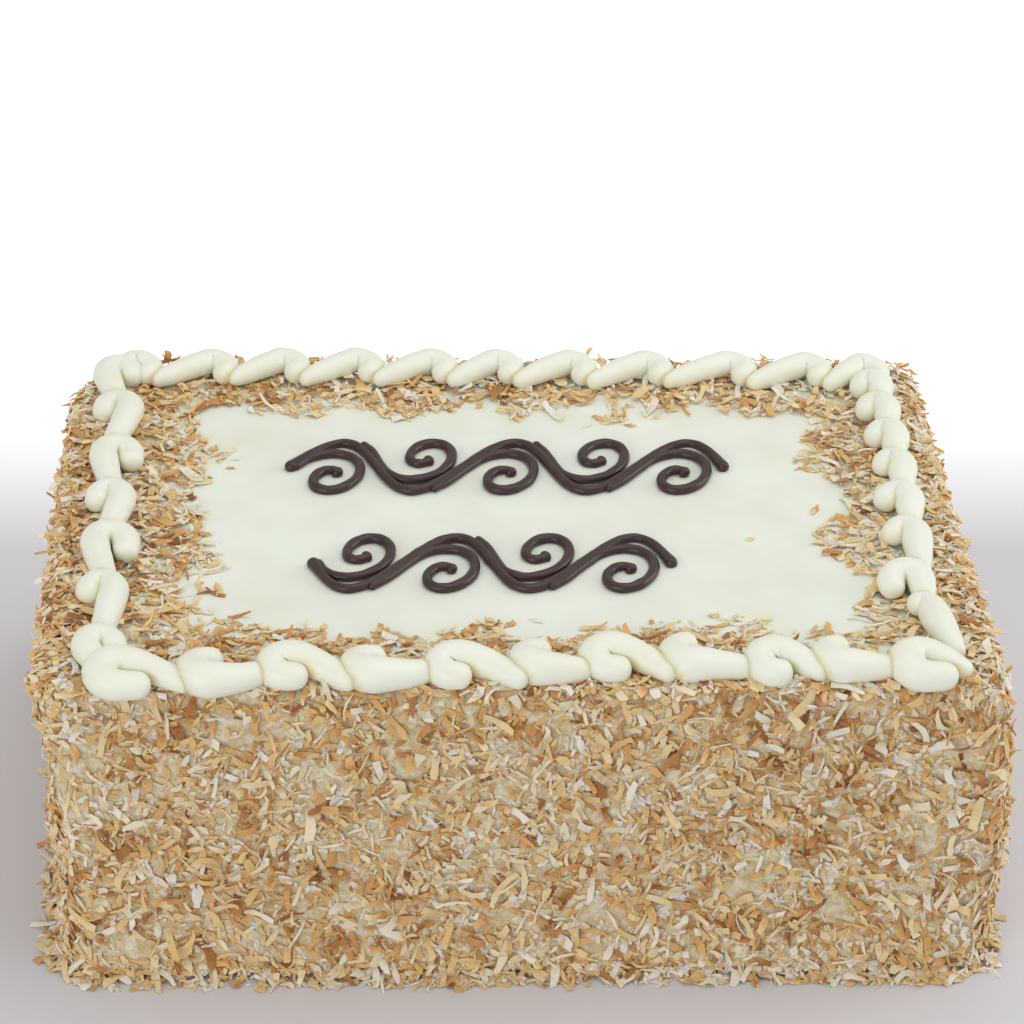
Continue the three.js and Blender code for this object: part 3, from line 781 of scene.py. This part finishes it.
def bent_shreds(kind, bed, scale, rng):
    """The points of a kind's shreds where they lie in a bed, its template's triangles and how toasted each
    point is."""
    template, triangles = shred_template(kind["lengths"])
    count = len(bed["place"])
    s = template[:, 0]
    length = rng.normal(*kind["length"], (count, 1)).clip(*SHRED_LENGTHS) * scale
    across = template[:, 1] * torn_widths(kind, count, s, rng)
    above = template[:, 2] * rng.uniform(*SHRED_THICKNESSES, (count, 1))
    bend = rng.normal(0, kind["bend"], (count, 1))
    bend = np.where(bend > 0, bend * 0.7, bend)
    bend = np.where(np.abs(bend) < 1e-3, 1e-3, bend)
    twist = rng.normal(0, kind["twist"], (count, 1)) * s
    y = across * np.cos(twist) - above * np.sin(twist)
    z = across * np.sin(twist) + above * np.cos(twist)
    ripple = rng.normal(0, 0.25, (count, 1)) * np.sin(2 * math.pi * s + rng.uniform(0, 6.3, (count, 1)))
    torn = rng.normal(0, 0.45, (count, 1)) * across * np.abs(2 * s)
    along_line = length * np.sin(bend * s) / bend + torn
    above_line = length * (1 - np.cos(bend * s)) / bend + ripple
    sway = length * rng.normal(0, 0.35, (count, 1)) * s**2
    along_shred = along_line - z * np.sin(bend * s)
    above_bed = above_line + z * np.cos(bend * s)
    local = np.stack([along_shred, y + sway, above_bed], axis=-1)
    forward = bed["forward"]
    tilt = bed["tilt"][:, None]
    lean = forward * np.cos(tilt) + bed["normal"] * np.sin(tilt)
    cross = np.cross(bed["normal"], forward)
    axes = np.stack([lean, cross, np.cross(lean, cross)], axis=1)
    points = bed["place"][:, None, :] + np.einsum("nvk,nkc->nvc", local, axes)
    points[:, :, 2] += np.maximum(0.1 - points[:, :, 2].min(axis=1, keepdims=True), 0)
    toast = bed["toast"][:, None] + rng.normal(0, 0.12, (count, 1)) * 2 * s
    return points, triangles, np.clip(toast, 0, 1)


def shred_mesh(bed, scale, rng):
    """All the shreds of a bed, of mixed kinds, as one mesh."""
    kinds = rng.choice(len(SHRED_KINDS), len(bed["place"]), p=[kind["share"] for kind in SHRED_KINDS])
    all_points, all_triangles, all_toast = [], [], []
    start = 0
    for order, kind in enumerate(SHRED_KINDS):
        part = {key: value[kinds == order] for key, value in bed.items()}
        points, triangles, toast = bent_shreds(kind, part, scale, rng)
        count, size = points.shape[:2]
        all_points.append(points.reshape(-1, 3))
        all_triangles.append((start + np.arange(count)[:, None, None] * size + triangles).reshape(-1, 3))
        all_toast.append(toast.ravel())
        start += count * size
    points, triangles, toast = np.vstack(all_points), np.vstack(all_triangles), np.concatenate(all_toast)
    mesh = bpy.data.meshes.new("coconut")
    mesh.vertices.add(len(points))
    mesh.vertices.foreach_set("co", (points * MM).astype(np.float32).ravel())
    mesh.loops.add(triangles.size)
    mesh.loops.foreach_set("vertex_index", triangles.astype(np.int32).ravel())
    mesh.polygons.add(len(triangles))
    mesh.polygons.foreach_set("loop_start", np.arange(0, triangles.size, 3, dtype=np.int32))
    mesh.update(calc_edges=True)
    mesh.shade_flat()
    set_attribute(mesh, "toast", toast)
    return mesh


def along_surface(normals, headings):
    """The direction at each heading about each normal, from straight up on a wall and from +X on the top."""
    level = np.abs(normals[:, 2:]) > 0.7
    start = np.where(level, np.array([[1.0, 0.0, 0.0]]), np.array([[0.0, 0.0, 1.0]]))
    start = start - normals * np.sum(start * normals, axis=1, keepdims=True)
    start /= np.linalg.norm(start, axis=1, keepdims=True)
    side = np.cross(normals, start)
    return start * np.cos(headings)[:, None] + side * np.sin(headings)[:, None]


def toast_levels(places, mean, rng):
    """How brown each shred is: most are pale or golden and some brown, in patches."""
    patches = 0.3 * noise_at(places, 13.0, 1.7) + 0.16 * noise_at(places, 4.5, 4.1)
    levels, shares = zip(*TOAST_KINDS)
    kinds = rng.choice(levels, len(places), p=shares)
    return np.clip(kinds + mean + patches + rng.normal(0, 0.05, len(places)), 0, 1)


def even_grid(width, height, count, rng):
    """count or a few more places spread over a rectangle, one at random in each cell."""
    columns = max(1, round(math.sqrt(count * width / height)))
    rows = max(1, round(count / columns))
    column, row = np.meshgrid(np.arange(columns), np.arange(rows))
    x = (column.ravel() + rng.uniform(0, 1, columns * rows)) / columns
    y = (row.ravel() + rng.uniform(0, 1, columns * rows)) / rows
    return x * width, y * height


def nearest_on_icing(points):
    """Where the icing's surface is nearest to each point, and its normal there, in millimetres."""
    hits = [icing_tree.find_nearest(Vector(point) * MM)[:2] for point in points]
    return np.array([hit for hit, _ in hits]) / MM, np.array([normal for _, normal in hits])


def joined_beds(beds):
    return {name: np.concatenate([bed[name] for bed in beds]) for name in beds[0]}


def carried(points):
    """Points of an even block, carried along with the cake's uneven ends."""
    return points + np.array([(end_offset(*point), 0.0, 0.0) for point in points])


def wall_bed(begin, end, count, rng):
    """Where the shreds lie on one side of the cake, between two distances round its outline: pressed flat
    into the icing first, then looser and further out, with thin patches here and there."""
    beds = []
    for part, lift, spread in WALL_COATS:
        along, height = even_grid(end - begin, ICING_TOP - 3.0, count * part * 1.12, rng)
        plan, facing = coat_outline(begin + along, COAT_THICKNESS)
        place, normal = nearest_on_icing(carried(np.column_stack([plan + 3 * facing, height + 1.0])))
        thin = noise_at(place, 14.0, 6.6) + 0.5 * noise_at(place, 5.0, 9.9)
        keep = rng.uniform(0, 1, len(place)) < 0.96 - 0.75 * smoothstep(0.05, 0.5, thin)
        place, normal = place[keep], normal[keep]
        many = len(place)
        place = place + normal * (lift + rng.uniform(-0.3, 0.5, many))[:, None]
        up = place[:, 2] / ICING_TOP
        mean = 0.02 + 0.05 * smoothstep(0.8, 1.0, up) - 0.06 * smoothstep(0.2, 0.0, up)
        headings = rng.normal(0, 1.1, many) + math.pi * rng.integers(0, 2, many)
        beds.append({
            "place": place, "normal": normal, "forward": along_surface(normal, headings),
            "tilt": rng.normal(0, spread, many), "toast": toast_levels(place, mean, rng),
        })
    return joined_beds(beds)


def top_bed(outside, count, rng):
    """Where the shreds lie on top: outside the border all over, or inside it in drifts that thin inward."""
    x = rng.uniform(-CAKE_WIDTH / 2 + 1, CAKE_WIDTH / 2 - 1, 16 * count)
    y = rng.uniform(-CAKE_DEPTH / 2 + 1, CAKE_DEPTH / 2 - 1, 16 * count)
    inward_x, inward_y = BORDER_HALF_WIDTH - np.abs(x), BORDER_HALF_DEPTH - np.abs(y)
    inward = np.minimum(inward_x, inward_y)
    flat = np.column_stack([x, y, np.full(len(x), ICING_TOP + 4)])
    if outside:
        keep = inward < -2
        flat = carried(flat)
    else:
        drift = noise_at(flat, 22.0, 2.2) + 0.7 * noise_at(flat, 8.0, 5.3)
        long_side_reach = np.where(y < 0, FRONT_DRIFT, BACK_DRIFT)
        reach = np.where(inward_x < inward_y, END_DRIFT, long_side_reach) + DRIFT_WAVE * drift
        chance = smoothstep(reach + 3, reach - 10, inward)
        strays = (inward < STRAY_REACH) & (rng.uniform(0, 1, len(x)) < STRAY_CHANCE)
        keep = (inward >= -2) & ((rng.uniform(0, 1, len(x)) < chance) | strays)
    flat, inward = flat[keep][:count], inward[keep][:count]
    place, normal = nearest_on_icing(flat)
    many = len(place)
    behind = smoothstep(*BACK_PILE_RISE, place[:, 1])
    pile = RIM_PILE + BACK_PILE * behind if outside else 0.4 + 2.2 * smoothstep(34, 10, inward)
    lift = 0.3 + pile * rng.uniform(0, 1, many) ** 1.3
    place = place + normal * lift[:, None]
    headings = rng.uniform(0, 2 * math.pi, many)
    return {
        "place": place, "normal": normal, "forward": along_surface(normal, headings),
        "tilt": rng.normal(0, 1, many) * (0.05 + 0.06 * lift),
        # The term in x makes the shreds on top paler to the right and browner to the left: partly painted
        # light falling from the right, partly toast.
        "toast": toast_levels(place, 0.22 * behind - 0.02 - 0.06 * place[:, 0] / (CAKE_WIDTH / 2), rng),
    }


def foot_bed(count, rng):
    """Where the shreds lie that have slid down against the foot."""
    out = rng.uniform(0, 1, count) ** 1.5
    plan, facing = coat_outline(rng.uniform(0, side_reach(0.0)[-1], count), 0.0)
    lift = 0.5 + rng.uniform(0, 1, count) * FOOT_PILE * (1 - out) ** 1.5
    slope = np.column_stack([facing * (1 - out)[:, None] * 0.8, np.ones(count)])
    reach = FOOT_FLARE - FOOT_INSIDE + FOOT_SPREAD * out
    place = carried(np.column_stack([plan + facing * reach[:, None], lift]))
    normal = slope / np.linalg.norm(slope, axis=1, keepdims=True)
    headings = rng.uniform(0, 2 * math.pi, count)
    return {
        "place": place, "normal": normal, "forward": along_surface(normal, headings),
        "tilt": rng.normal(0, 0.08, count), "toast": toast_levels(place, -0.08, rng),
    }


def clear_of_piping(bed, lines):
    """The shreds of a bed that no more than touch the strands along lines, in their middle and 2 mm either
    side."""
    strands = np.vstack(lines)
    clear = np.ones(len(bed["place"]), bool)
    for reach in (-2.0, 0.0, 2.0):
        points = bed["place"] + bed["forward"] * reach
        for start in range(0, len(points), 500):
            part = slice(start, start + 500)
            gap = np.linalg.norm(points[part, None] - strands[None, :, :3], axis=2) - strands[None, :, 3]
            clear[part] &= gap.min(axis=1) > -0.5
    return {key: value[clear] for key, value in bed.items()}


def add_coconut(name, bed, rng, scale=1.0):
    return add_object(name, shred_mesh(bed, scale, rng), COCONUT, "toasted_coconut")


# ---------------------------------------------------------------- the studio


# The photo's camera: where it stands, how far it looks down and to the right, its roll, its lens and how wide
# its film is.
CAMERA_PLACE = (-85.8, -1451.4, 1008.6)
CAMERA_DOWNWARD = math.radians(31.38)
CAMERA_HEADING = math.radians(3.29)
CAMERA_ROLL = math.radians(1.68)
CAMERA_LENS = 165.4
CAMERA_FILM = 36.0

# The soft lights: where each stands and how wide and deep it is, in metres, and its power in watts.
LIGHTS = {
    "overhead": ((0.35, 0.15, 1.5), (1.4, 1.0), 5.6),
    "front_fill": ((-0.9, -1.5, 0.7), (1.2, 0.8), 9.8),
    "right_fill": ((1.3, 0.3, 0.6), (0.8, 0.6), 4.6),
}
LIT_POINT = Vector((0, 0, 0.06))  # what they face, in metres


def build_camera():
    """The photo's view: a long lens from a little above, turned slightly to the right and rolled."""
    data = bpy.data.cameras.new("camera")
    data.sensor_width = CAMERA_FILM
    data.lens = CAMERA_LENS
    data.clip_end = 30.0
    camera = bpy.data.objects.new("camera", data)
    turn = Matrix.Rotation(-CAMERA_HEADING, 4, "Z") @ Matrix.Rotation(math.pi / 2 - CAMERA_DOWNWARD, 4, "X")
    place = Matrix.Translation(Vector(CAMERA_PLACE) * MM)
    camera.matrix_world = place @ turn @ Matrix.Rotation(CAMERA_ROLL, 4, "Z")
    bpy.context.scene.collection.objects.link(camera)
    bpy.context.scene.camera = camera


def add_area_light(name, position, size, power):
    data = bpy.data.lights.new(name, "AREA")
    data.shape = "RECTANGLE"
    data.size, data.size_y = size
    data.energy = power
    light = bpy.data.objects.new(name, data)
    light.location = position
    light.rotation_euler = (LIT_POINT - Vector(position)).to_track_quat("-Z", "Y").to_euler()
    bpy.context.scene.collection.objects.link(light)


def build_studio():
    """A grey-lilac table top that turns white behind the cake, under soft white light."""
    material, tree, link, shader = new_material("studio_floor")
    place = tree.nodes.new("ShaderNodeTexCoord")
    split = tree.nodes.new("ShaderNodeSeparateXYZ")
    link(place.outputs["Object"], split.inputs["Vector"])
    distance = add_range(tree, split.outputs["Y"], From_Min=0.17, From_Max=0.30)
    glow = add_colour_mix(tree, distance.outputs["Result"])
    set_inputs(glow, A=(0.0, 0.0, 0.0, 1.0), B=(0.6, 0.6, 0.6, 1.0))
    link(glow.outputs["Result"], shader.inputs["Emission Color"])
    set_inputs(shader, Base_Color=linear(214, 213, 217), Roughness=0.7, Emission_Strength=1.0)
    bm = bmesh.new()
    bmesh.ops.create_grid(bm, x_segments=1, y_segments=1, size=4.0)
    floor = bpy.data.objects.new("studio_floor", mesh_from_bmesh("studio_floor", bm))
    floor.data.materials.append(material)
    bpy.context.scene.collection.objects.link(floor)
    world = bpy.data.worlds.new("studio")
    world.use_nodes = True
    set_inputs(world.node_tree.nodes["Background"], Color=(1.0, 1.0, 1.0, 1.0), Strength=0.6)
    bpy.context.scene.world = world
    for name, (position, size, power) in LIGHTS.items():
        add_area_light(name, position, size, power)
    bpy.context.scene.view_settings.view_transform = "Standard"


# ---------------------------------------------------------------- the cake

build_camera()
build_studio()

icing = add_object("cream_icing", icing_mesh(), CREAM_ICING, "cream_icing", "iced_cake")
icing_tree = BVHTree.FromObject(icing, bpy.context.evaluated_depsgraph_get())

piping = []
for side_name, run in RUNS.items():
    lines = border_lines(run)
    piping += lines
    mesh = piped_mesh("cream_border", lines, sides=22)
    add_object(f"piped_cream_{side_name}", mesh, PIPED_CREAM, "piped_cream", f"cream_border_{side_name}")
for order, (row_name, row) in enumerate(VINE_ROWS.items()):
    lines = vine_lines(row, np.random.default_rng(40 + order))
    piping += lines
    mesh = piped_mesh("chocolate_scroll", lines, sides=14)
    add_object(f"scroll_{row_name}", mesh, CHOCOLATE, "chocolate", f"chocolate_scroll_{row_name}")

# Each side's coconut runs from the middle of one corner to the middle of the next.
sides = coat_sides(COAT_THICKNESS)
for order, side in enumerate(sides):
    start = side_reach(COAT_THICKNESS)[order]
    begin = start - math.pi * sides[order - 1]["radius"] / 4
    end = start + side["straight"] + math.pi * side["radius"] / 4
    rng = np.random.default_rng(60 + order)
    add_coconut(f"coconut_{side['name']}", wall_bed(begin, end, SHREDS_ON_SIDES[side["name"]], rng), rng)
rng = np.random.default_rng(71)
add_coconut("coconut_rim", clear_of_piping(top_bed(True, 5600, rng), piping), rng, 0.9)
rng = np.random.default_rng(72)
add_coconut("coconut_drift", clear_of_piping(top_bed(False, 4600, rng), piping), rng, 0.9)
rng = np.random.default_rng(73)
add_coconut("coconut_foot", foot_bed(3000, rng), rng, 0.85)
